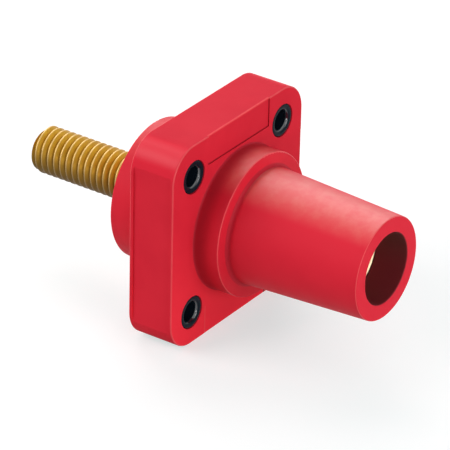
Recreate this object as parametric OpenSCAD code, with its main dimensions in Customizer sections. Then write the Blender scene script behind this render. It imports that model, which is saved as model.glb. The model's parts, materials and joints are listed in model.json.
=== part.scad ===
// Panel receptacle of a single pole cam lock connector.
// The square flange bolts to a panel: the nose points to -Y, the stud to +Y, and Z is up.
// The origin is the middle of the flange face that lies on the panel.

/* [Flange] */
// Width and height of the square flange
flange_w = 55.8; // [52:0.1:66]
// Thickness of the flange
flange_t = 13; // [11:0.1:18]
// Radius of the flange corners, seen from the front
flange_corner_r = 8.6; // [4:0.1:12]
// Radius along the front and rear edges of the flange
flange_edge_r = 0.4; // [0.2:0.1:1.5]
// Distance between the bolt holes, across and up
bolt_spacing = 38.1; // [37:0.1:42]

/* [Label fields and side panels] */
// Width of the shallow fields at the top and bottom of the front face
field_w = 26.2; // [10:0.1:28]
// Height of each field, from the flange edge inwards
field_h = 8; // [4:0.1:8.5]
// Depth of the fields below the front face
field_depth = 0.25; // [0.1:0.05:0.5]
// Depth of the shallow panels in the two sides of the flange
panel_depth = 0.35; // [0.1:0.05:0.6]
// Border that is left along the panel's edges
panel_border = 1; // [0.5:0.1:3]
// Height of the right panel, which is open to the front
right_panel_h = 26.2; // [10:0.1:36]

/* [Front collar] */
// Diameter of the round collar in front of the flange
collar_d = 38.1; // [34:0.1:44]
// How far the collar stands out of the flange
collar_h = 7.5; // [4:0.1:14]
// Radius of the collar's front edge
collar_edge_r = 0.4; // [0.2:0.1:1.5]
// Fillet between the collar and the flange
collar_root_r = 0.7; // [0.2:0.1:1]

/* [Nose] */
// Diameter of the tapered nose where it leaves the collar
nose_base_d = 30.7; // [28:0.1:33]
// Diameter of the nose at its mouth
nose_tip_d = 27.1; // [25.8:0.1:29]
// Length of the nose in front of the collar
nose_len = 37.1; // [28:0.1:50]
// Fillet between the nose and the collar
nose_root_r = 1; // [0.3:0.1:1.5]
// Radius of the mouth's outer edge
nose_edge_r = 0.4; // [0.2:0.1:1.5]
// Diameter of the mouth
mouth_d = 18.7; // [18.2:0.1:21]
// Depth from the mouth to the front of the contact
mouth_depth = 9.1; // [5:0.1:14]
// Radius of the mouth's inner edge
mouth_edge_r = 0.4; // [0.2:0.1:1]

/* [Rear boss] */
// Diameter of the boss that passes through the panel
boss_d = 37.2; // [32:0.1:42]
// How far the boss stands out of the panel face
boss_h = 12.8; // [9:0.1:20]
// Radius of the boss's rear edge
boss_edge_r = 0.4; // [0.2:0.1:1.5]

/* [Contact] */
// Outside diameter of the socket barrel
barrel_d = 22; // [21.6:0.1:23]
// Diameter of the socket where it guides the plug
socket_d = 15.9; // [14:0.1:17]
// Length of the guiding stretch, with its lead-in
guide_len = 12; // [8:0.1:15]
// Chamfer at the socket's mouth
socket_lead = 0.8; // [0.3:0.1:1]
// Diameter of the locking chamber behind the guide
chamber_d = 17.2; // [17:0.1:18]
// Depth of the whole socket
socket_depth = 34; // [28:0.1:45]
// Distance from the panel face to the middle of the retaining groove
groove_at = 8; // [4:0.1:12]
// Width of the retaining groove in the barrel
groove_w = 4; // [2:0.1:6]
// Depth of the retaining groove
groove_depth = 1; // [0.4:0.1:2]
// Diameter of the rear shoulder
shoulder_d = 25.4; // [23.4:0.1:30]
// Distance between the shoulder's two flats
shoulder_flats = 23.5; // [23.2:0.1:26.6]
// Length of the shoulder
shoulder_len = 8; // [4:0.1:11]
// How far the shoulder stands out of the boss, as the seat for a cable lug
shoulder_proud = 0.8; // [0.2:0.1:2]
// Outside diameter of the stud's thread
stud_d = 12.5; // [10:0.1:16]
// Length of the stud behind the shoulder
stud_len = 33.9; // [20:0.1:50]
// Chamfer at the end of the stud
stud_chamfer = 0.6; // [0.4:0.1:2]

/* [Cam pin] */
// Diameter of the pin that a plug's cam groove locks on
pin_d = 4; // [3:0.1:4.4]
// Distance from the socket's axis to the pin's axis
pin_offset = 7.1; // [6.4:0.1:7.6]
// Distance from the front of the contact to the pin's axis
pin_at = 20; // [17:0.1:25]

/* [Bolt bushings] */
// Outside diameter of a bushing
bushing_d = 8.8; // [7:0.1:10]
// Diameter of the bolt hole
bolt_hole_d = 5.2; // [4:0.1:5.6]
// Radius of the hole's flared mouth
bushing_mouth_r = 1.0; // [0.3:0.1:1.2]
// Radius of the bushing's outer front edge
bushing_rim_r = 0.5; // [0.2:0.1:0.6]
// How far a bushing lies below the front face
bushing_inset = 0.1; // [0:0.05:0.5]
// Width of the groove that keeps a bushing in the flange
bushing_groove_w = 4; // [2:0.1:6]
// Depth of that groove
bushing_groove_depth = 0.5; // [0.2:0.1:0.8]

/* [Fits] */
// Gap between the moulded body and the metal in it
insert_gap = 0.05; // [0.02:0.01:0.1]
// Gap around the cam pin in its hole
pin_gap = 0.02; // [0.01:0.01:0.05]

/* [Hidden] */
$fn = 96;

// How far a cut runs past the face that it opens
past = 1;
// How much wider an edge's arc is than its radius, so that it crosses the two edges and doesn't graze them
arc_over = 0.0005;

body_red = [0.84, 0.14, 0.2];
brass = [0.76, 0.58, 0.24];
steel = [0.72, 0.73, 0.75];
sleeve_black = [0.09, 0.1, 0.11];

// Heights along the axis, from the panel face towards the nose
collar_z = flange_t + collar_h;
mouth_z = collar_z + nose_len;
contact_z = mouth_z - mouth_depth;
shoulder_z = -boss_h - shoulder_proud;
shoulder_top_z = shoulder_z + shoulder_len;
stud_end_z = shoulder_z - stud_len;

flange_half = flange_w / 2;
corner_middle = flange_half - flange_corner_r;

// The pin stops where its outer side would break out of the barrel
pin_half = sqrt(pow(barrel_d / 2, 2) - pow(pin_offset + pin_d / 2, 2)) - insert_gap;

// Direction from one point of an outline to another
function toward(from, to) = (to - from) / norm(to - from);

// Steps of a groove round a piece of radius r, upwards, with the outline larger all over by a gap
function groove_steps(r, middle_z, width, depth, gap) =
  let (
    low = middle_z - width / 2 + gap,
    high = middle_z + width / 2 - gap,
    floor_r = r - depth + gap
  )
  [
    [r + gap, low],
    [floor_r, low],
    [floor_r, high],
    [r + gap, high]
  ];

// Outline of half a bushing from z0 to z1, larger all over by a gap
function bushing_outline(z0, z1, gap) =
  let (r = bushing_d / 2)
  concat(
    [[0, z0 - gap], [r + gap, z0 - gap]],
    groove_steps(r, flange_t / 2, bushing_groove_w, bushing_groove_depth, gap),
    [[r + gap, z1 + gap], [0, z1 + gap]]
  );

// Axis that the part is turned around, laid along -Y
module along_axis() {
  rotate([90, 0, 0]) children();
}

// Flat outline in height and depth, drawn out to a length across the flange
module across(length) {
  rotate([90, 0, 90]) linear_extrude(length, center = true) children();
}

// Sliver between a corner of an outline and the arc that touches both its edges.
// Taken off it rounds an outer corner, and added it fills an inner one.
// It runs past the corner by the radius, so that no edge of it lies on the outline.
module corner_sliver(corner, before, after, r) {
  u = toward(corner, before);
  v = toward(corner, after);
  half_angle = acos(u * v) / 2;
  reach = r / tan(half_angle);
  inward = (u + v) / norm(u + v);
  middle = corner + inward * r / sin(half_angle);
  difference() {
    polygon([corner - inward * r, corner + u * reach, corner + v * reach]);
    translate(middle) circle(r + arc_over);
  }
}

// Edge of the flange in section, from the middle of a corner outwards
module flange_section() {
  inner = [0, 0];
  rear = [flange_corner_r, 0];
  front = [flange_corner_r, flange_t];
  difference() {
    square([flange_corner_r, flange_t]);
    corner_sliver(rear, inner, front, flange_edge_r);
    corner_sliver(front, rear, [0, flange_t], flange_edge_r);
  }
}

// Square plate with round corners and rounded front and rear edges
module flange_plate() {
  side = 2 * corner_middle;
  translate([-corner_middle, -corner_middle, 0]) cube([side, side, flange_t]);
  for (turn = [0 : 90 : 270]) rotate([0, 0, turn]) {
    translate([corner_middle, corner_middle, 0]) rotate_extrude(angle = 90) flange_section();
    translate([0, corner_middle, 0]) across(side) flange_section();
  }
}

// Shallow fields at the top and bottom of the front face, open to the flange's edge
module label_fields() {
  for (turn = [0, 180]) rotate([0, 0, turn])
    translate([-field_w / 2, flange_half - field_h, flange_t - field_depth])
      cube([field_w, field_h + past, field_depth + past]);
}

// Shallow panels in the sides of the flange: the left one runs out into the corners
module side_panels() {
  left_t = flange_t - 2 * panel_border;
  right_t = flange_t - panel_border + past;
  translate([-flange_half - past, -flange_half, panel_border])
    cube([past + panel_depth, flange_w, left_t]);
  translate([flange_half - panel_depth, -right_panel_h / 2, panel_border])
    cube([past + panel_depth, right_panel_h, right_t]);
}

// Boss, collar and tapered nose, as one turned outline
module turned_body() {
  middle_z = flange_t / 2;
  boss_r = boss_d / 2;
  collar_r = collar_d / 2;
  foot_r = collar_r + collar_root_r;
  boss_edge = [boss_r, -boss_h];
  collar_foot = [foot_r, flange_t];
  collar_root = [collar_r, flange_t];
  collar_edge = [collar_r, collar_z];
  nose_root = [nose_base_d / 2, collar_z];
  nose_edge = [nose_tip_d / 2, mouth_z];
  rotate_extrude() {
    difference() {
      polygon([
        [0, -boss_h],
        boss_edge,
        [boss_r, middle_z],
        [foot_r, middle_z],
        collar_foot,
        collar_root,
        collar_edge,
        nose_root,
        nose_edge,
        [0, mouth_z]
      ]);
      corner_sliver(boss_edge, [0, -boss_h], [boss_r, middle_z], boss_edge_r);
      corner_sliver(collar_edge, collar_root, nose_root, collar_edge_r);
      corner_sliver(nose_edge, nose_root, [0, mouth_z], nose_edge_r);
    }
    corner_sliver(collar_root, collar_foot, collar_edge, collar_root_r);
    corner_sliver(nose_root, collar_edge, nose_edge, nose_root_r);
  }
}

// Open mouth in front of the contact, with its rounded inner edge
module mouth_cut() {
  mouth_r = mouth_d / 2;
  edge = [mouth_r, mouth_z];
  rotate_extrude() {
    translate([0, contact_z]) square([mouth_r, mouth_z + past - contact_z]);
    corner_sliver(edge, [mouth_r, contact_z], [nose_tip_d / 2, mouth_z], mouth_edge_r);
  }
}

// Outside of the contact's barrel and shoulder with its two flats, larger all over by a gap.
// The barrel is narrower than the flats and starts halfway up the shoulder.
module contact_outside(gap) {
  barrel_r = barrel_d / 2;
  barrel_z = shoulder_z + shoulder_len / 2;
  rotate_extrude() polygon(concat(
    [[0, barrel_z], [barrel_r + gap, barrel_z]],
    groove_steps(barrel_r, groove_at, groove_w, groove_depth, gap),
    [[barrel_r + gap, contact_z + gap], [0, contact_z + gap]]
  ));
  translate([0, 0, shoulder_z - gap]) linear_extrude(shoulder_len + 2 * gap) intersection() {
    circle(shoulder_d / 2 + gap);
    square([shoulder_d + 2 * past, shoulder_flats + 2 * gap], center = true);
  }
}

// Socket with its lead-in, guide and locking chamber
module socket_cut() {
  socket_r = socket_d / 2;
  chamber_r = chamber_d / 2;
  guide_end_z = contact_z - guide_len;
  floor_z = contact_z - socket_depth;
  rotate_extrude() polygon([
    [0, contact_z + past],
    [socket_r + socket_lead + past, contact_z + past],
    [socket_r, contact_z - socket_lead],
    [socket_r, guide_end_z],
    [chamber_r, guide_end_z - (chamber_r - socket_r)],
    [chamber_r, floor_z],
    [0, floor_z]
  ]);
}

// Round bar across the socket where the cam pin lies
module pin_bar(d, length) {
  translate([0, pin_offset, contact_z - pin_at]) rotate([0, 90, 0])
    cylinder(d = d, h = length, center = true);
}

// Places of the four bolts, with x and z as -1 or 1
module at_bolt(x, z) {
  translate([x, z, 0] * bolt_spacing / 2) children();
}

// Pocket for one bushing, with the rib that fills its groove
module bushing_pocket() {
  rotate_extrude() polygon(bushing_outline(-past, flange_t + past, insert_gap));
}

// One moulded piece: flange, collar, nose and boss around the metal pieces
module insulator_body() {
  color(body_red) along_axis() difference() {
    union() {
      flange_plate();
      turned_body();
    }
    label_fields();
    side_panels();
    mouth_cut();
    contact_outside(insert_gap);
    for (x = [-1, 1], z = [-1, 1]) at_bolt(x, z) bushing_pocket();
  }
}

// One turned piece: socket barrel, shoulder with flats, and stud
module contact() {
  stud_r = stud_d / 2;
  color(brass) along_axis() difference() {
    union() {
      contact_outside(0);
      rotate_extrude() polygon([
        [0, stud_end_z],
        [stud_r - stud_chamfer, stud_end_z],
        [stud_r, stud_end_z + stud_chamfer],
        [stud_r, shoulder_z + past],
        [0, shoulder_z + past]
      ]);
    }
    socket_cut();
    pin_bar(pin_d + 2 * pin_gap, barrel_d + 2 * past);
  }
}

// Dowel across the locking chamber
module cam_pin() {
  color(steel) along_axis() pin_bar(pin_d, 2 * pin_half);
}

// Sleeve that a panel bolt clamps on, with x and z as -1 or 1
module bushing(x, z) {
  front_z = flange_t - bushing_inset;
  outer_r = bushing_d / 2;
  hole_r = bolt_hole_d / 2;
  rim = [outer_r, front_z];
  mouth = [hole_r, front_z];
  color(sleeve_black) along_axis() at_bolt(x, z) rotate_extrude() difference() {
    polygon(bushing_outline(0, front_z, 0));
    translate([0, -past]) square([hole_r, front_z + 2 * past]);
    corner_sliver(rim, [outer_r, 0], mouth, bushing_rim_r);
    corner_sliver(mouth, rim, [hole_r, 0], bushing_mouth_r);
  }
}

insulator_body();
contact();
cam_pin();
bushing(-1, 1);  // bushing_upper_left
bushing(1, 1);  // bushing_upper_right
bushing(-1, -1);  // bushing_lower_left
bushing(1, -1);  // bushing_lower_right
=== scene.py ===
"""Looks of the panel receptacle of a single pole cam lock connector.

A red moulded body, a turned brass contact with a threaded stud, a steel cam pin and four black bolt
bushings. Lengths are in metres. The axis lies along Y, from the nose at the low end to the stud at the
high end.
"""
import json
from math import ceil, cos, pi, radians, sin

import bmesh
import bpy
from mathutils import Matrix, Vector


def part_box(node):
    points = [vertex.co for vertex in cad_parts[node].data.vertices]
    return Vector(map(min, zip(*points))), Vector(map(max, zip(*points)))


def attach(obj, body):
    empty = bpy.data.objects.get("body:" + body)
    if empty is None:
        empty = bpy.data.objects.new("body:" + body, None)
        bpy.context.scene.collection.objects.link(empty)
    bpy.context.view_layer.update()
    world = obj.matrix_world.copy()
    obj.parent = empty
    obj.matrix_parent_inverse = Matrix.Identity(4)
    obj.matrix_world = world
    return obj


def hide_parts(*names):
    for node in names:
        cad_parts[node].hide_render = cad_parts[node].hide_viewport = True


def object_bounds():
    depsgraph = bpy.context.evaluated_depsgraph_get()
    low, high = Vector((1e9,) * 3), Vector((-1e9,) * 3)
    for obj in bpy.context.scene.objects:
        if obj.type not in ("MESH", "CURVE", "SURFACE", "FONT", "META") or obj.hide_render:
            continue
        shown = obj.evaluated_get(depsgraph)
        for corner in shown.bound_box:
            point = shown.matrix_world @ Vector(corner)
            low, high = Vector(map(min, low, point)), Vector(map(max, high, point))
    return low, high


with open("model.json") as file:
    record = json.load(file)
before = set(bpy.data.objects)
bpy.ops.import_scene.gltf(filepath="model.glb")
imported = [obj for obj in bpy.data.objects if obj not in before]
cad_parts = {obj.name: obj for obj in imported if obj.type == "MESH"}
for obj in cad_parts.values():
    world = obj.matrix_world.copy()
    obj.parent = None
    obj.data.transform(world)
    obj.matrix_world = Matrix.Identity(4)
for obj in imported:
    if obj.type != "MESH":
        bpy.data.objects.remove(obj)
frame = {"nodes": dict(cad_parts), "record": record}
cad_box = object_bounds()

scene = bpy.context.scene
mounts = {mount["name"]: mount for mount in frame["record"]["mounts"]}

# Camera of the photograph, with angles in degrees and its lens and sensor in millimetres
CAMERA_AZIMUTH = -55.504
CAMERA_ELEVATION = 28.732
CAMERA_ROLL = 1.326
CAMERA_DISTANCE = 0.98422
CAMERA_LENS = 315.21
CAMERA_SENSOR = 36
CAMERA_NEAR = 0.01
CAMERA_AIM = Vector((0, -0.01507, 0))
CAMERA_SLIDE = (-0.004749, -0.001641)

# Studio: how far off the lamps are, how strongly the surroundings light the object, how wide the floor
# is, and over which distance from the object it turns plain white
LAMP_DISTANCE = 0.9
SURROUNDINGS_LIGHT = 0.15
FLOOR_SIZE = 6
FLOOR_FAR = (0.15, 0.4)

# Places along the axis
NOSE_TIP = cad_box[0].y
SOCKET_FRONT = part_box("contact")[0].y
COLLAR_FRONT = -0.0205
FLANGE_FRONT = -0.013
FIELD_FLOOR = -0.01275
LUG_SEAT = mounts["lug_seat"]["pos_m"][1]

# Radii of what is round, and half the spacing of the bolts
MOUTH_R = mounts["mouth_bore"]["dims"]["r_mm"] / 1000
NOSE_FOOT_R = 0.01535
COLLAR_R = 0.01905
STUD_R = mounts["stud"]["dims"]["r_mm"] / 1000
BOLT_R = mounts["panel_bolts"]["dims"]["hole_r_mm"] / 1000
BOLT_HALF = mounts["panel_bolts"]["dims"]["spacing_x_mm"] / 2000

# Label fields: half their width, and the heights where they start and where the flange ends
FIELD_HALF = 0.0131
FIELD_FOOT = 0.0199
FLANGE_TOP = cad_box[1].z

# Where shades and edges come in or end: along the axis, in height, and away from the axis
RIM_END = (-0.05, -0.045)
SEAT_START = (-0.002, 0.0)
LOW_FRONT_END = (-0.022, 0.012)
COLLAR_EDGE_START = (-0.017, -0.0135)
UNDERSIDE_END = (-0.0045, 0.0075)
MOUTH_MIDDLE = (-0.006, 0.006)
PLATE_EDGE_START = (0.024, 0.025)

# Stud thread: 13 turns to the inch, with the depth and crest of a 60 degree thread
THREAD_PITCH = 0.0254 / 13
THREAD_DEPTH = 0.6134 * THREAD_PITCH
THREAD_RUNOUT = 1.1 * THREAD_PITCH
STUD_CHAMFER = 0.0006
STUD_SUNK = 0.0005
STUD_FOOT = STUD_SUNK + 0.00002
STUD_NECK = 0.00003
STUD_COLUMNS = 96

# Contact's mesh: within which reach points are one, in the stud, the solid and the joined piece, how far
# from the seat and the flats still counts as on them, and which faces are shaded flat
STUD_WELD = 1e-7
SOLID_WELD = 1e-6
JOINED_WELD = 2e-6
SEAT_MARGIN = 1e-5
FLAT_MARGIN = 1e-6
SQUARE_FACING = 0.9999
SHARP_ANGLE = radians(32)

# Unit for the soft borders of shades and edges, and depths of fine relief
HAIR = 0.0001
SKIN_DEPTH = 0.00002
RING_DEPTH = 0.000006
PEEL_DEPTH = 0.000012
GRINDING_DEPTH = 0.000004

# Colours of the moulding, with its painted light, highlights and shade
RED = (0.69, 0.015, 0.036, 1)
RED_PALER = (0.74, 0.019, 0.041, 1)
RED_PAINTED_LIGHT_LOW = (0.92, 0.028, 0.052, 1)
RED_PAINTED_LIGHT_TOPS = (0.78, 0.016, 0.04, 1)
RED_PAINTED_HIGHLIGHT = (0.82, 0.2, 0.15, 1)
RED_FOOT_SHADE = (0.32, 0.012, 0.026, 1)
RED_SHADE = (0.38, 0.008, 0.019, 1)
RED_EDGE_HIGHLIGHT = (0.88, 0.09, 0.1, 1)
MOUTH_SHADE_LOWER = (0.2, 0.02, 0.026, 1)
MOUTH_SHADE_UPPER = (0.15, 0.034, 0.032, 1)

# Colours of the contact, with its painted highlights and shade
FLANK = (0.74, 0.41, 0.028, 1)
FLANK_DULL = (0.62, 0.33, 0.02, 1)
ROOT_DARKER = (0.24, 0.125, 0.012, 1)
CREST_HIGHLIGHT = (0.85, 0.57, 0.2, 1)
UNDERSIDE_SHADE = (0.065, 0.043, 0.013, 1)
SOCKET_HIGHLIGHT = (0.87, 0.7, 0.45, 1)
SOCKET_GAP_SHADE = (0.02, 0.012, 0.006, 1)
SEAT = (0.78, 0.49, 0.11, 1)
SEAT_DULL = (0.68, 0.41, 0.085, 1)

# Colours of the bushings, the pin and the studio
SLEEVE = (0.005, 0.011, 0.018, 1)
SLEEVE_HAZE = (0.010, 0.017, 0.027, 1)
STEEL = (0.60, 0.61, 0.62, 1)
STEEL_STAIN = (0.48, 0.48, 0.47, 1)
FLOOR_LIT = (0.52, 0.43, 0.43, 1)
FLOOR_SEEN = (0.62, 0.49, 0.49, 1)
FLOOR_LIFT = (0.468, 0.6, 0.6, 1)
WHITE = (1, 1, 1, 1)


class Wire:
    """A shader value that takes part in sums: each operator adds the Math node that works it out."""

    def __init__(self, finish, socket):
        self.finish = finish
        self.socket = socket

    def math(self, operation, first, second):
        return self.finish.node("ShaderNodeMath", {"operation": operation}, {0: first, 1: second})

    def __add__(self, other):
        return self.math("ADD", self, other)

    def __radd__(self, other):
        return self.math("ADD", other, self)

    def __sub__(self, other):
        return self.math("SUBTRACT", self, other)

    def __rsub__(self, other):
        return self.math("SUBTRACT", other, self)

    def __mul__(self, other):
        return self.math("MULTIPLY", self, other)

    def __rmul__(self, other):
        return self.math("MULTIPLY", other, self)

    def or_larger(self, other):
        return self.math("MAXIMUM", self, other)


class Finish:
    """The nodes of one finish, of the floor or of the surroundings, written on a node tree."""

    def __init__(self, tree):
        self.nodes = tree.nodes
        self.links = tree.links
        self.nodes.clear()

    def node(self, kind, settings, sockets, output=0):
        """Adds a node, its settings first and then its sockets' values or links, and gives one output."""
        node = self.nodes.new(kind)
        for name, value in settings.items():
            setattr(node, name, value)
        for name, value in sockets.items():
            if isinstance(value, Wire):
                self.links.new(value.socket, node.inputs[name])
            else:
                node.inputs[name].default_value = value
        if node.outputs:
            return Wire(self, node.outputs[output])

    def place(self):
        """Point on the piece, in metres in the part's own frame."""
        return self.node("ShaderNodeTexCoord", {}, {}, "Object")

    def facing(self):
        """Direction that the surface faces, in the part's own frame."""
        return self.node("ShaderNodeTexCoord", {}, {}, "Normal")

    def across(self, place):
        """How far to the right a place is, seen from the front."""
        return self.node("ShaderNodeSeparateXYZ", {}, {"Vector": place}, "X")

    def along(self, place):
        """How far along the axis a place is, from the nose to the stud."""
        return self.node("ShaderNodeSeparateXYZ", {}, {"Vector": place}, "Y")

    def height(self, place):
        return self.node("ShaderNodeSeparateXYZ", {}, {"Vector": place}, "Z")

    def unsigned(self, place):
        """The place without its signs, for what is alike on both sides."""
        return self.node("ShaderNodeVectorMath", {"operation": "ABSOLUTE"}, {0: place})

    def stretch(self, place, scale):
        return self.node("ShaderNodeVectorMath", {"operation": "MULTIPLY"}, {0: place, 1: scale})

    def length(self, place):
        return self.node("ShaderNodeVectorMath", {"operation": "LENGTH"}, {0: place}, "Value")

    def off_axis(self, place):
        """Distance from the axis that the round pieces are turned around."""
        return self.length(self.stretch(place, (1, 0, 1)))

    def squareness(self, facing):
        """1 where the surface faces along one of the frame's axes, and less where it is turned away."""
        size = self.unsigned(facing)
        return self.across(size).or_larger(self.along(size)).or_larger(self.height(size))

    def clouds(self, place, scale, detail, roughness=0.5):
        """Noise from 0 to 1, with a scale in cells to the metre."""
        sockets = {"Vector": place, "Scale": scale, "Detail": detail, "Roughness": roughness}
        return self.node("ShaderNodeTexNoise", {"noise_dimensions": "3D"}, sockets)

    def fade(self, value, low, high):
        """0 below low, 1 above high, and smooth in between."""
        sockets = {"Value": value, "From Min": low, "From Max": high, "To Min": 0.0, "To Max": 1.0}
        return self.node("ShaderNodeMapRange", {"interpolation_type": "SMOOTHSTEP"}, sockets)

    def between(self, value, rise, fall):
        """0 before the rise, 1 after it, and 0 again after the fall."""
        return self.fade(value, *rise) * (1 - self.fade(value, *fall))

    def blend(self, share, first, second):
        """Colour that goes from the first to the second as the share goes from 0 to 1."""
        return self.node("ShaderNodeMix", {"data_type": "RGBA"}, {0: share, 6: first, 7: second}, 2)

    def relief(self, height, depth):
        """Surface normal over fine relief, where a height of 1 stands out by the depth."""
        return self.node("ShaderNodeBump", {}, {"Strength": 1.0, "Distance": depth, "Height": height})

    def surface(self, sockets):
        shader = self.node("ShaderNodeBsdfPrincipled", {}, sockets)
        self.node("ShaderNodeOutputMaterial", {}, {"Surface": shader})


def new_finish(name):
    material = bpy.data.materials.new(name)
    material.use_nodes = True
    return material, Finish(material.node_tree)


def field_shade(f, place):
    """1 in the corners at the foot of the upper label field and at the right end of both."""
    along, x, z = f.along(place), f.across(place), f.height(place)
    far_x, far_z = f.across(f.unsigned(place)), f.height(f.unsigned(place))
    in_field = (FLANGE_FRONT, FLANGE_FRONT + HAIR), (FIELD_FLOOR + 1.5 * HAIR, FIELD_FLOOR + 2.5 * HAIR)
    at_foot = (FIELD_FOOT - HAIR, FIELD_FOOT), (FIELD_FOOT + HAIR, FIELD_FOOT + 4 * HAIR)
    at_end = (FIELD_HALF - 3 * HAIR, FIELD_HALF - HAIR), (FIELD_HALF, FIELD_HALF + HAIR)
    foot = f.between(z, *at_foot) * (1 - f.fade(far_x, FIELD_HALF, FIELD_HALF + HAIR))
    end = f.between(x, *at_end) * f.fade(far_z, FIELD_FOOT - HAIR, FIELD_FOOT)
    return f.between(along, *in_field) * f.node("ShaderNodeClamp", {}, {"Value": foot + end})


def field_edge(f, place):
    """1 along the lower label field's left edge and the upper one's top edge, which get a painted
    highlight.
    """
    along, x, z = f.along(place), f.across(place), f.height(place)
    far_x = f.across(f.unsigned(place))
    at_left = (-FIELD_HALF - 4 * HAIR, -FIELD_HALF - 2 * HAIR), (-FIELD_HALF, -FIELD_HALF + HAIR)
    left = f.between(x, *at_left) * (1 - f.fade(z, -FIELD_FOOT, -FIELD_FOOT + HAIR))
    left *= 1 - f.fade(along, FLANGE_FRONT + 0.5 * HAIR, FLANGE_FRONT + HAIR)
    top = f.fade(z, FLANGE_TOP - 5 * HAIR, FLANGE_TOP - 2 * HAIR)
    top *= 1 - f.fade(along, FIELD_FLOOR + 2 * HAIR, FIELD_FLOOR + 5 * HAIR)
    top *= 1 - f.fade(far_x, FIELD_HALF, FIELD_HALF + HAIR)
    return left + top


def red_moulding():
    """Red moulded rubber: matt flat faces, glossy tops, painted light and highlights, painted shade at feet
    and mouth.
    """
    material, f = new_finish("red_moulding")
    place, facing = f.place(), f.facing()
    along, off, height = f.along(place), f.off_axis(place), f.height(place)
    back, up = f.along(facing), f.height(facing)
    drift = f.clouds(place, 70, 3)
    skin = f.clouds(place, 2400, 2)
    waves = f.clouds(place, 240, 2)
    blotches = f.fade(f.clouds(place, 300, 4, 0.6), 0.3, 0.7)

    # Forms: the flange's plate and its round corners, the round pieces, the mouth and the rim around it
    plate = f.between(along, (FLANGE_FRONT - 3 * HAIR, FLANGE_FRONT), (0.0, 3 * HAIR))
    flat = f.fade(f.squareness(facing), 0.96, 0.995)
    turned = f.fade(f.along(f.unsigned(facing)), 0.15, 0.4)
    side = f.fade(back, -0.5, -0.15)
    front = 1 - f.fade(back, -0.9, -0.6)
    corner = plate * (1 - flat) * (1 - turned)
    round_form = (1 - plate) * (1 - front) + corner
    mouth = 1 - f.fade(off, MOUTH_R + 0.2 * HAIR, MOUTH_R + 2.5 * HAIR)
    rim = front * (1 - f.fade(along, *RIM_END))
    painted_light_low_front = plate * front * (1 - f.fade(height, *LOW_FRONT_END))

    # Painted highlight along the edges
    collar_edge = f.fade(off, COLLAR_R - 15.5 * HAIR, COLLAR_R - 8.5 * HAIR)
    collar_edge *= 1 - f.fade(along, COLLAR_FRONT + 7 * HAIR, COLLAR_FRONT + 13 * HAIR)
    collar_edge *= f.fade(height, *COLLAR_EDGE_START)
    nose_edge = (1 - f.fade(along, NOSE_TIP + 8 * HAIR, NOSE_TIP + 14 * HAIR)) * (1 - mouth)
    plate_edge = plate * (1 - flat) * turned * f.fade(off, *PLATE_EDGE_START)
    round_edge = (1 - side) * (1 - front) * (collar_edge + nose_edge)
    painted_edge_highlight = 0.45 * plate_edge + 0.75 * round_edge + 0.7 * field_edge(f, place)

    # Painted shade at the feet of the collar and the nose
    sheltered = f.fade(along, COLLAR_FRONT + 20 * HAIR, FLANGE_FRONT - 15 * HAIR)
    collar_foot = sheltered * (1 - f.fade(along, FLANGE_FRONT - 3 * HAIR, FLANGE_FRONT))
    at_nose_foot = (
        (COLLAR_FRONT - 17 * HAIR, COLLAR_FRONT - 6 * HAIR),
        (COLLAR_FRONT + HAIR, COLLAR_FRONT + 5 * HAIR),
    )
    nose_foot = f.between(along, *at_nose_foot)
    nose_foot *= 1 - f.fade(off, NOSE_FOOT_R + 4.5 * HAIR, NOSE_FOOT_R + 10.5 * HAIR)
    painted_foot_shade = 0.7 * collar_foot + 0.55 * nose_foot

    # Glossy tops of the round pieces, which carry a painted highlight, and what else is smooth enough to
    # shine
    top_gloss_and_highlight = side * f.fade(up - 0.14 * f.across(facing), 0.78, 1.0) * (0.82 + 0.18 * blotches)
    shine = (1 - plate) * top_gloss_and_highlight * (1 - 0.65 * sheltered)
    upper_corner = corner * f.between(up, (0.45, 0.75), (0.86, 0.995))
    smooth = 0.6 * upper_corner + shine + 0.6 * (plate_edge + round_edge)

    red = f.blend(f.fade(drift, 0.3, 0.7), RED, RED_PALER)
    # Painted light: the flange's front is painted lighter towards the bottom.
    red = f.blend(painted_light_low_front, red, RED_PAINTED_LIGHT_LOW)
    # Painted light: the upper sides of the round pieces and the nose's front rim are painted lighter.
    red = f.blend(round_form * f.fade(up, -0.2, 0.6) + rim, red, RED_PAINTED_LIGHT_TOPS)
    # Painted highlight: a pale haze on the tops of the round pieces.
    red = f.blend(shine * (0.3 + 0.16 * blotches), red, RED_PAINTED_HIGHLIGHT)
    # Painted shade in the corners at the feet of the collar and the nose.
    red = f.blend(painted_foot_shade, red, RED_FOOT_SHADE)
    red = f.blend(field_shade(f, place), red, RED_SHADE)
    # Painted highlight along the rounded edges and the label fields' edges.
    red = f.blend(painted_edge_highlight, red, RED_EDGE_HIGHLIGHT)
    # Painted shade: the inside of the mouth is painted dark.
    mouth_shade = f.blend(f.fade(height, *MOUTH_MIDDLE), MOUTH_SHADE_LOWER, MOUTH_SHADE_UPPER)
    f.surface({
        "Base Color": f.blend(mouth, red, mouth_shade),
        "Roughness": 0.5 + 0.15 * plate + 0.08 * waves + 0.06 * skin,
        "Specular IOR Level": 0.15,
        "Coat Weight": 0.9 * smooth * (1 - mouth),
        "Coat Roughness": 0.4,
        "Normal": f.relief(0.6 * skin + 0.4 * waves, SKIN_DEPTH),
    })
    return material


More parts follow.
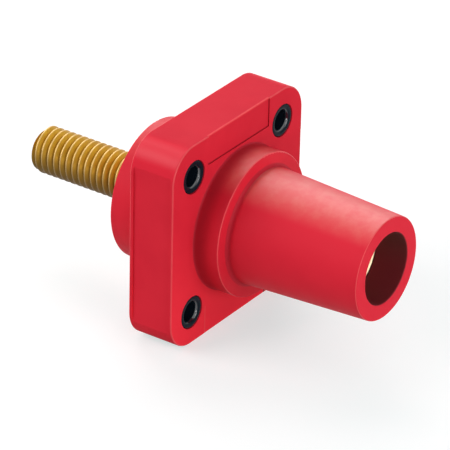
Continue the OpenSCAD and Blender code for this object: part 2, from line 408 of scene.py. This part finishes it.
def turned_brass():
    """Turned brass: dull flanks, turning rings, thin tarnish, painted highlights on crests and socket,
    painted shade under.
    """
    material, f = new_finish("turned_brass")
    place = f.place()
    along, off = f.along(place), f.off_axis(place)
    rings = f.clouds(f.stretch(place, (60, 9000, 60)), 1, 2)
    tarnish = f.clouds(place, 420, 3)
    dull = f.fade(tarnish, 0.35, 0.75)
    on_stud = f.fade(along, LUG_SEAT + 0.2 * HAIR, LUG_SEAT + HAIR)
    on_seat = f.fade(along, *SEAT_START)
    crest = f.fade(off, STUD_R - 0.16 * THREAD_DEPTH, STUD_R - 0.05 * THREAD_DEPTH)
    root = 1 - f.fade(off, STUD_R - 0.97 * THREAD_DEPTH, STUD_R - 0.72 * THREAD_DEPTH)
    shaded_underside = 1 - f.fade(f.height(place), *UNDERSIDE_END)
    thread = f.blend(dull, FLANK, FLANK_DULL)
    # The thread's roots are coloured darker.
    thread = f.blend(0.55 * root, thread, ROOT_DARKER)
    # Painted highlight: the thread's crests are painted pale.
    thread = f.blend(crest, thread, CREST_HIGHLIGHT)
    # Painted shade: the stud is painted darker on its underside.
    thread = f.blend(0.85 * shaded_underside, thread, UNDERSIDE_SHADE)
    # Painted shadow in the gap between the socket's front and the rubber.
    gap_shade = f.fade(off, MOUTH_R - 4.5 * HAIR, MOUTH_R - 2.5 * HAIR)
    gap_shade *= 1 - f.fade(along, SOCKET_FRONT + HAIR, SOCKET_FRONT + 3 * HAIR)
    # Painted highlight: the brass in and before the socket is painted pale.
    socket = f.blend(gap_shade, SOCKET_HIGHLIGHT, SOCKET_GAP_SHADE)
    seat = f.blend(dull, SEAT, SEAT_DULL)
    f.surface({
        "Base Color": f.blend(on_stud, f.blend(on_seat, socket, seat), thread),
        "Metallic": 0.45,
        "Roughness": 0.32 + 0.1 * tarnish,
        "Specular IOR Level": 0.2,
        "Normal": f.relief(rings, RING_DEPTH),
    })
    return material


def black_sleeve():
    """Black coating of the bolt bushings, with a slight orange peel and a polished mouth."""
    material, f = new_finish("black_sleeve")
    place = f.place()
    peel = f.clouds(place, 1500, 2)
    haze = f.clouds(place, 350, 2)
    from_bolt = {0: f.unsigned(place), 1: (BOLT_HALF, 0, BOLT_HALF)}
    off_bolt = f.off_axis(f.node("ShaderNodeVectorMath", {"operation": "SUBTRACT"}, from_bolt))
    mouth = 1 - f.fade(off_bolt, BOLT_R + HAIR, BOLT_R + 5 * HAIR)
    mouth *= 1 - f.fade(f.along(place), FLANGE_FRONT + 12 * HAIR, FLANGE_FRONT + 18 * HAIR)
    f.surface({
        "Base Color": f.blend(haze, SLEEVE, SLEEVE_HAZE),
        "Roughness": 0.02 + 0.04 * haze,
        "Specular IOR Level": 0.04,
        "Coat Weight": mouth,
        "Coat IOR": 2.0,
        "Normal": f.relief(peel, PEEL_DEPTH),
    })
    return material


def ground_steel():
    """Ground steel of the cam pin, with grinding lines around the pin."""
    material, f = new_finish("ground_steel")
    place = f.place()
    lines = f.clouds(f.stretch(place, (14000, 400, 400)), 1, 2)
    stain = f.clouds(place, 600, 3)
    f.surface({
        "Base Color": f.blend(stain, STEEL, STEEL_STAIN),
        "Metallic": 1.0,
        "Roughness": 0.24 + 0.12 * stain,
        "Normal": f.relief(lines, GRINDING_DEPTH),
    })
    return material


def dress(node, material):
    frame["nodes"][node].material_slots[0].material = material


def weld(mesh, reach):
    """Joins the points within reach of each other, and drops the faces that shrink to nothing."""
    bmesh.ops.remove_doubles(mesh, verts=mesh.verts, dist=reach)
    bmesh.ops.dissolve_degenerate(mesh, edges=mesh.edges, dist=reach)


def close_holes(mesh):
    rim = [edge for edge in mesh.edges if edge.is_boundary]
    bmesh.ops.holes_fill(mesh, edges=rim, sides=0)
    bmesh.ops.recalc_face_normals(mesh, faces=mesh.faces)


def as_piece(mesh, name):
    data = bpy.data.meshes.new(name)
    mesh.to_mesh(data)
    mesh.free()
    piece = bpy.data.objects.new(name, data)
    scene.collection.objects.link(piece)
    return piece


def thread_shape():
    """One turn of the thread: shares of the pitch from a crest's middle, and shares of the depth."""
    half = [(0.0, 0.0), (0.0625, 0.0), (0.40, 0.953), (0.44, 1.0)]
    return half + [(0.5, 1.0)] + [(1 - share, depth) for share, depth in reversed(half[1:])]


def thread_depth_at(shape, turn):
    """Depth of the thread, as a share, at a place given in turns."""
    turn %= 1
    ends = shape + [(1.0, 0.0)]
    for (low, first), (high, second) in zip(ends, ends[1:]):
        if turn <= high:
            return first + (second - first) * (turn - low) / (high - low)


def stud_radius(shape, along, angle, length):
    """Radius of the threaded stud at a length from its sunk end and an angle around it."""
    depth = THREAD_DEPTH * thread_depth_at(shape, along / THREAD_PITCH - angle / (2 * pi))
    threaded = STUD_R - depth * min(1, (along - STUD_FOOT) / THREAD_RUNOUT)
    chamfered = STUD_R - STUD_CHAMFER + length - along
    necked = STUD_R - STUD_NECK + along - STUD_FOOT
    return min(threaded, chamfered, necked)


def threaded_stud(start, end):
    """Closed mesh of the stud, with rows that follow the right-handed helix and stop at both ends."""
    shape = thread_shape()
    length = end - start
    neck_r = STUD_R - STUD_NECK
    turns = range(-1, ceil(length / THREAD_PITCH) + 1)
    rows = [turn + share for turn in turns for share, depth in shape]
    mesh = bmesh.new()
    sunk_end = []
    columns = []
    for column in range(STUD_COLUMNS):
        angle = 2 * pi * column / STUD_COLUMNS
        sunk_end.append(mesh.verts.new((neck_r * sin(angle), start, neck_r * cos(angle))))
        points = []
        for row in rows:
            along = min(max(THREAD_PITCH * (row + angle / (2 * pi)), STUD_FOOT), length)
            r = stud_radius(shape, along, angle, length)
            points.append(mesh.verts.new((r * sin(angle), start + along, r * cos(angle))))
        columns.append(points)
    for here, there in zip(columns, columns[1:]):
        for row in range(len(rows) - 1):
            mesh.faces.new((here[row], there[row], there[row + 1], here[row + 1]))
    for column in range(STUD_COLUMNS):
        before, foot = columns[column - 1][0], columns[column][0]
        mesh.faces.new((sunk_end[column - 1], sunk_end[column], foot, before))
    here, there = columns[-1], columns[0]
    for row in range(len(rows) - 1 - len(shape)):
        ahead = row + len(shape)
        mesh.faces.new((here[row], there[ahead], there[ahead + 1], here[row + 1]))
    weld(mesh, STUD_WELD)
    close_holes(mesh)
    return mesh


def barrel_without_stud():
    """The contact's solid, closed where its plain stud is cut off at the lug's seat."""
    barrel = bmesh.new()
    barrel.from_mesh(frame["nodes"]["contact"].data)
    bmesh.ops.remove_doubles(barrel, verts=barrel.verts, dist=SOLID_WELD)
    plain_stud = [vert for vert in barrel.verts if vert.co.y > LUG_SEAT + SEAT_MARGIN]
    bmesh.ops.delete(barrel, geom=plain_stud, context="VERTS")
    close_holes(barrel)
    return barrel


def join_stud(contact, stud):
    """Makes one closed mesh of the barrel and the stud that is sunk into it."""
    join = contact.modifiers.new("join", "BOOLEAN")
    join.operation = "UNION"
    join.solver = "EXACT"
    join.object = stud
    joined = contact.evaluated_get(bpy.context.evaluated_depsgraph_get())
    whole = bpy.data.meshes.new_from_object(joined)
    contact.modifiers.clear()
    contact.data = whole
    bpy.data.objects.remove(stud)
    mesh = bmesh.new()
    mesh.from_mesh(whole)
    weld(mesh, JOINED_WELD)
    mesh.to_mesh(whole)
    mesh.free()


def smooth_turned_faces(mesh, flat_height):
    """Shades the turned faces smooth, and those cut square to the axis or on the shoulder's flats flat."""
    mesh.shade_smooth()
    mesh.set_sharp_from_angle(angle=SHARP_ANGLE)
    for face in mesh.polygons:
        square_cut = abs(face.normal.y) > SQUARE_FACING
        on_flat = abs(face.center.z) > flat_height - FLAT_MARGIN
        face.use_smooth = not (square_cut or on_flat)


def threaded_contact(material):
    """The contact as the solid has it, with its plain stud cut off and the threaded one joined on."""
    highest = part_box("contact")[1]
    contact = as_piece(barrel_without_stud(), "threaded_contact")
    stud = as_piece(threaded_stud(LUG_SEAT - STUD_SUNK, highest.y), "stud_blank")
    join_stud(contact, stud)
    smooth_turned_faces(contact.data, highest.z)
    contact.data.materials.clear()
    contact.data.materials.append(material)
    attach(contact, "root")
    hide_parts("contact")


def seen_directly(f):
    """1 for what the camera sees, straight or in gloss and glass, and 0 for light on the object."""
    rays = ("Is Camera Ray", "Is Glossy Ray", "Is Transmission Ray")
    straight, gloss, glass = (f.node("ShaderNodeLightPath", {}, {}, ray) for ray in rays)
    return f.node("ShaderNodeClamp", {}, {"Value": straight + gloss + glass})


def white_surroundings():
    """White studio all round, which lights the object at a plain level."""
    world = bpy.data.worlds.new("studio")
    world.use_nodes = True
    scene.world = world
    f = Finish(world.node_tree)
    strength = SURROUNDINGS_LIGHT + (1 - SURROUNDINGS_LIGHT) * seen_directly(f)
    glow = f.node("ShaderNodeBackground", {}, {"Color": WHITE, "Strength": strength})
    f.node("ShaderNodeOutputWorld", {}, {"Surface": glow})


def white_floor():
    """Plain floor that keeps the shadow, with a glow that only lifts what is seen of it to white."""
    bpy.ops.mesh.primitive_plane_add(size=FLOOR_SIZE, location=(0, 0, cad_box[0].z))
    floor = bpy.context.object
    floor.name = "floor"
    material, f = new_finish("white_floor")
    direct = seen_directly(f)
    paper = f.node("ShaderNodeBsdfDiffuse", {}, {"Color": f.blend(direct, FLOOR_LIT, FLOOR_SEEN)})
    lift = f.blend(f.fade(f.length(f.place()), *FLOOR_FAR), FLOOR_LIFT, WHITE)
    glow = f.node("ShaderNodeEmission", {}, {"Color": lift, "Strength": direct})
    both = f.node("ShaderNodeAddShader", {}, {0: paper, 1: glow})
    f.node("ShaderNodeOutputMaterial", {}, {"Surface": both})
    floor.data.materials.append(material)


def softbox(name, toward, size, power):
    """Square soft lamp that faces the object from a direction."""
    lamp = bpy.data.lights.new(name, "AREA")
    lamp.size = size
    lamp.energy = power
    holder = bpy.data.objects.new(name, lamp)
    direction = Vector(toward).normalized()
    holder.location = direction * LAMP_DISTANCE
    holder.rotation_euler = direction.to_track_quat("Z", "Y").to_euler()
    scene.collection.objects.link(holder)


def photo_camera():
    """Camera at the photograph's angle, distance and framing."""
    a, e, roll = (radians(angle) for angle in (CAMERA_AZIMUTH, CAMERA_ELEVATION, CAMERA_ROLL))
    back = Vector((sin(a) * cos(e), -cos(a) * cos(e), sin(e)))
    level = Vector((cos(a), sin(a), 0))
    upright = back.cross(level)
    right = cos(roll) * level + sin(roll) * upright
    up = cos(roll) * upright - sin(roll) * level
    aim = CAMERA_AIM + CAMERA_SLIDE[0] * right + CAMERA_SLIDE[1] * up
    lens = bpy.data.cameras.new("photo_camera")
    lens.sensor_width = CAMERA_SENSOR
    lens.lens = CAMERA_LENS
    lens.clip_start = CAMERA_NEAR
    camera = bpy.data.objects.new("photo_camera", lens)
    turn = Matrix((right, up, back)).transposed().to_4x4()
    camera.matrix_world = Matrix.Translation(aim + back * CAMERA_DISTANCE) @ turn
    scene.collection.objects.link(camera)
    scene.camera = camera


dress("insulator_body", red_moulding())
dress("cam_pin", ground_steel())
sleeve = black_sleeve()
for corner in ("upper_left", "upper_right", "lower_left", "lower_right"):
    dress("bushing_" + corner, sleeve)
threaded_contact(turned_brass())

scene.view_settings.view_transform = "Standard"
photo_camera()
white_surroundings()
white_floor()
softbox("top_softbox", toward=(0, 0, 1), size=0.8, power=0.4)
softbox("back_right_softbox", toward=(0.5, 0.5, 0.7), size=0.75, power=5.2)
softbox("back_left_softbox", toward=(-0.6, 0.6, 0.5), size=0.7, power=5.5)
softbox("front_left_softbox", toward=(-0.74, -0.66, 0.06), size=0.1, power=0.5)
softbox("front_softbox", toward=(-0.1, -0.99, 0.1), size=0.8, power=7.5)
